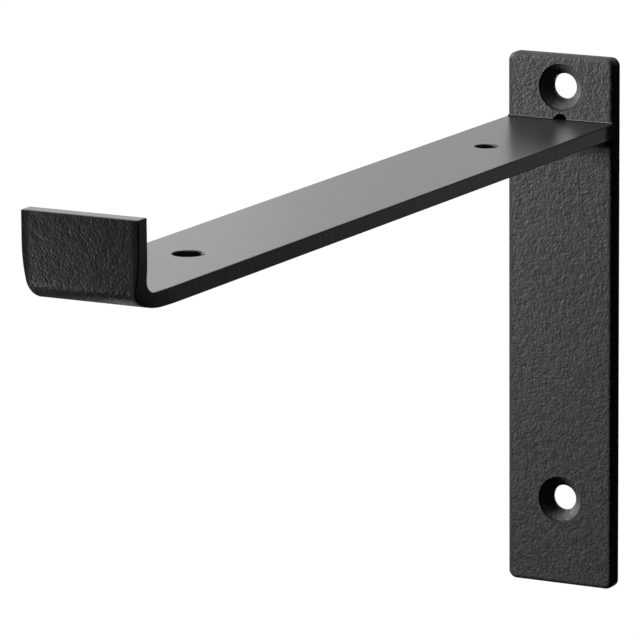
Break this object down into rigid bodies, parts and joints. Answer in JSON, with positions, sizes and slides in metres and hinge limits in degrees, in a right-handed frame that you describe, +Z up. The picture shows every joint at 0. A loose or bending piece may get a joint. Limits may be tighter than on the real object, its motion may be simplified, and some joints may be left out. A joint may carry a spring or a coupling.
{
  "type": "shelf bracket",
  "caption": "Flat steel bar shelf bracket: a screwed wall plate and a welded arm whose far end is bent up into a lip that holds the board.",
  "frame": {"origin": "on the wall plane behind the plate, in the middle of the bars' width, level with the arm's top, where the board lies", "axes": "+Y into the wall, so the arm points along -Y; +Z up; X across the bars' width"},
  "size_m": [0.038, 0.31, 0.177],
  "materials": {
    "powder_coat": "fine grained matt black powder coat"
  },
  "bodies": {
    "root": {"wall_plate": "powder_coat", "shelf_arm": "powder_coat", "weld_bead": "powder_coat"}
  },
  "joints": []
}
